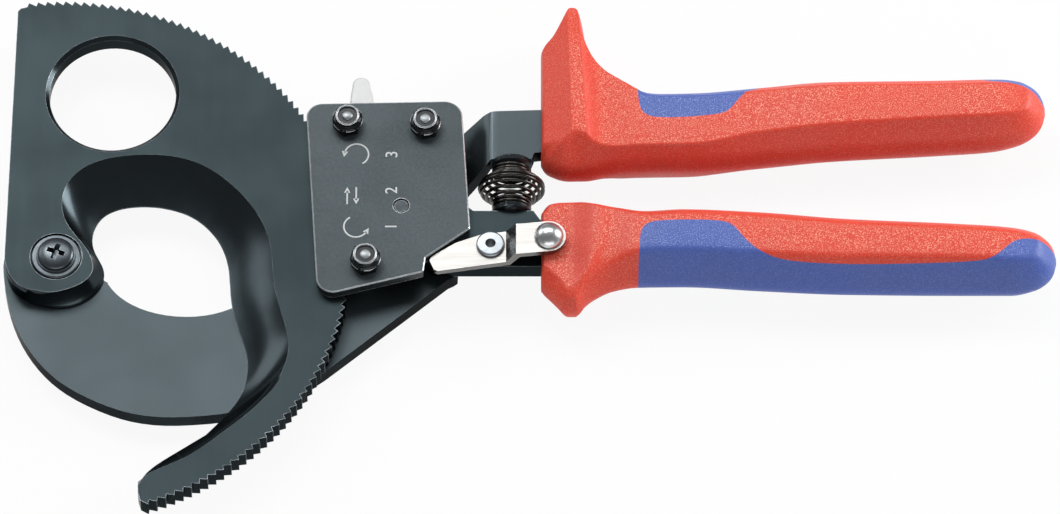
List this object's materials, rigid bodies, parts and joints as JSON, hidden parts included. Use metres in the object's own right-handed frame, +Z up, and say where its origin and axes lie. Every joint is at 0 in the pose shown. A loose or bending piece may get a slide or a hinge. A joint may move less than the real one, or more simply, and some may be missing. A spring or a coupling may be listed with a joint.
{
  "type": "ratchet cable cutter",
  "caption": "Hand-held ratchet cable cutter: toothed swinging blade over a hooked fixed blade, feed and retaining pawls under a bolted cover, sprung two-colour handles and a thumb latch.",
  "frame": {"origin": "centre of the footprint, on the surface the tool lies on", "axes": "+X runs along the tool from the jaws to the handle ends, +Y points to the fixed handle's side, +Z points up out of the cover plate"},
  "size_m": [0.2804, 0.1528, 0.0232],
  "materials": {
    "blued_steel": "dark blued, finely brushed steel with satin sheen",
    "cover_steel": "matt, finely grained dark grey",
    "black_steel": "blackened steel, half gloss",
    "bearing_steel": "turned steel",
    "bolt_steel": "plated steel",
    "insert_nylon": "dark nylon locking ring",
    "spring_steel": "dark spring steel wire",
    "tab_grey": "light grey, satin",
    "bright_plate": "bright plated steel",
    "rivet_plate": "satin plated steel",
    "chrome": "polished dome",
    "grip_red": "soft red grip with a fine grain",
    "grip_blue": "soft blue grip zone with a fine grain"
  },
  "bodies": {
    "frame": {"fixed_blade_frame": "blued_steel", "pivot_bush": "bearing_steel", "pivot_washer": "black_steel", "pivot_screw": "black_steel", "pivot_nut": "black_steel", "cover_plate": "cover_steel", "housing_bolts": "bolt_steel", "lock_nuts": "black_steel", "nut_inserts": "insert_nylon", "bolt_spacers": "bearing_steel", "pawl_spring_post": "bearing_steel", "pawl_spring": "spring_steel", "handle_pivot_pin": "bearing_steel", "spring_seat_upper": "black_steel", "opening_spring": "spring_steel", "upper_grip": "grip_red", "upper_grip_inlay": "grip_blue"},
    "blade": {"moving_blade": "blued_steel"},
    "release_pawl": {"retaining_pawl": "bearing_steel", "release_tab": "tab_grey"},
    "handle": {"handle_shank": "blued_steel", "feed_pawl_pin": "bearing_steel", "feed_pawl_spring": "spring_steel", "latch_washer": "bearing_steel", "latch_rivet": "rivet_plate", "spring_seat_lower": "black_steel", "lower_grip": "grip_red", "lower_grip_inlay": "grip_blue"},
    "feed_pawl": {"feed_pawl": "bearing_steel"},
    "latch": {"latch_lever": "bright_plate", "latch_knob": "chrome"}
  },
  "joints": [
    {"name": "blade_pivot", "type": "hinge", "parent": "frame", "child": "blade", "pos_m": [-0.12595, -0.00221, 0.0108], "axis": [0, 0, 1], "range_deg": [-84.6, 109.8]},
    {"name": "release_pivot", "type": "hinge", "parent": "frame", "child": "release_pawl", "pos_m": [-0.04865, 0.03629, 0.0108], "axis": [0, 0, 1], "range_deg": [0, 9], "stiffness_Nm_per_rad": 0.2, "springref_deg": -5.73, "deforming": ["pawl_spring"]},
    {"name": "handle_pivot", "type": "hinge", "parent": "frame", "child": "handle", "pos_m": [-0.03415, 0.01139, 0.0108], "axis": [0, 0, -1], "range_deg": [0, 42], "deforming": ["opening_spring"]},
    {"name": "feed_pawl_pivot", "type": "hinge", "parent": "handle", "child": "feed_pawl", "pos_m": [-0.04395, 0.01169, 0.0108], "axis": [0, 0, 1], "range_deg": [0, 60.9], "deforming": ["feed_pawl_spring"]},
    {"name": "latch_pivot", "type": "hinge", "parent": "handle", "child": "latch", "pos_m": [-0.01035, -0.00001, 0.0148], "axis": [0, 0, 1], "range_deg": [0, 67.2]}
  ],
  "couplings": [
    {"joint": "feed_pawl_pivot", "follows": "handle_pivot", "ratio": 1.45},
    {"joint": "latch_pivot", "follows": "handle_pivot", "ratio": 1.6}
  ]
}
